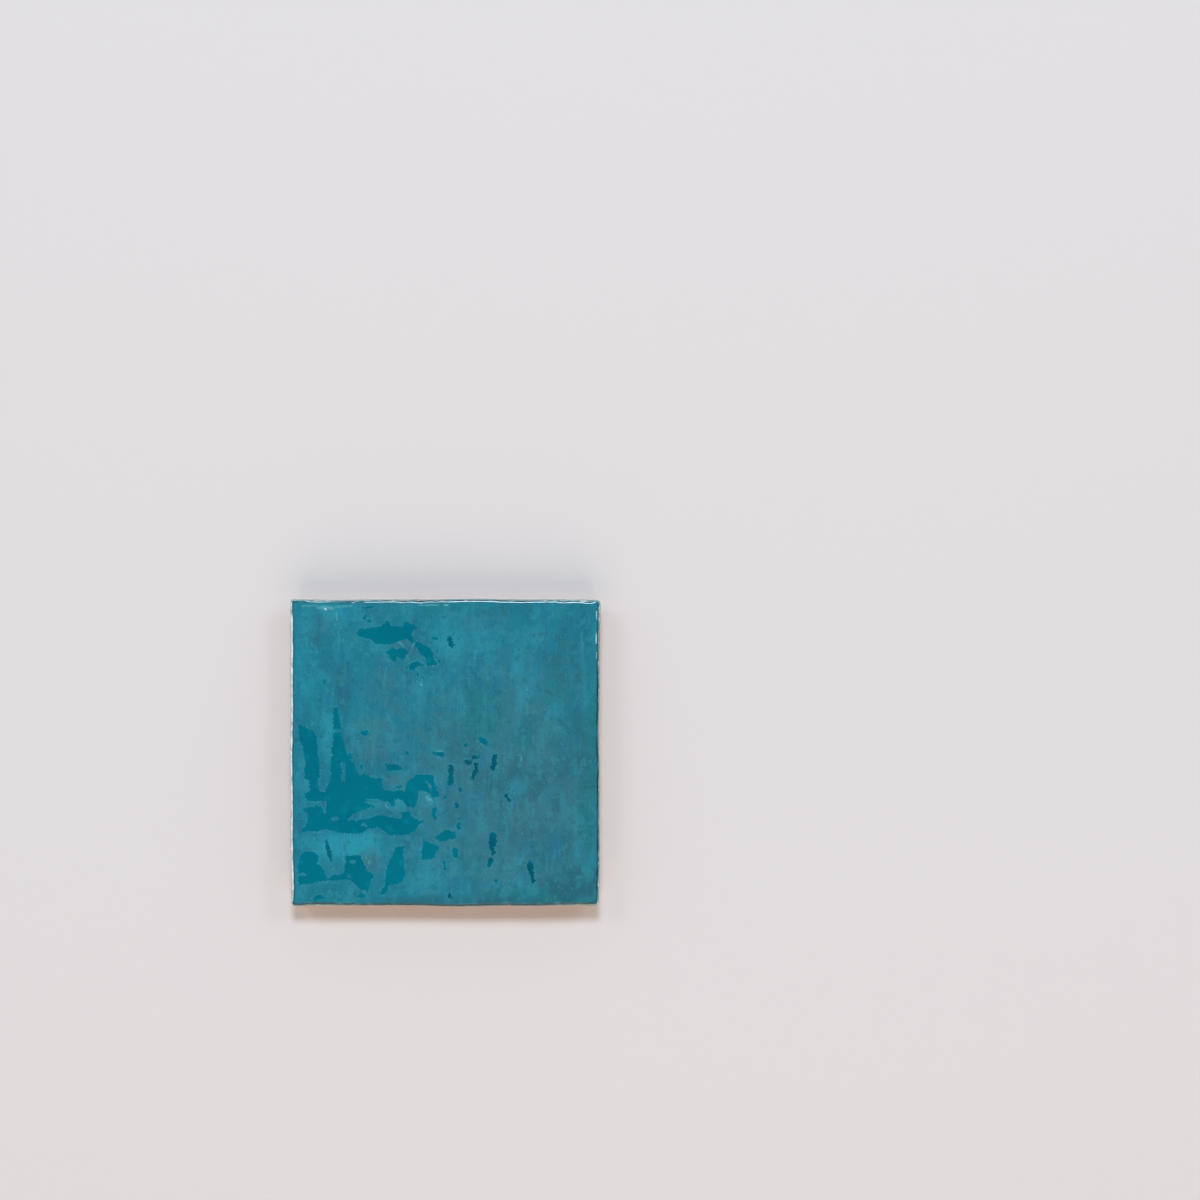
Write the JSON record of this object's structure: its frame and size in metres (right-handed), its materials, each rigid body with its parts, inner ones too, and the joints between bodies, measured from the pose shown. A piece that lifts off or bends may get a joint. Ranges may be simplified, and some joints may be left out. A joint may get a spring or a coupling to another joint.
{
  "type": "zellige tile",
  "caption": "Square hand-cut glazed wall tile with an uneven pooled face, rolled chipped edges and sides cut in towards a flat back.",
  "frame": {"origin": "middle of the flat back", "axes": "+Z out of the glazed face, +X along the width, +Y towards the far edge, which is cut a little wider"},
  "size_m": [0.1003, 0.0994, 0.0117],
  "materials": {
    "glazed_clay": "glossy hand-brushed teal glaze over fired clay"
  },
  "bodies": {
    "root": {"tile": "glazed_clay"}
  },
  "joints": []
}
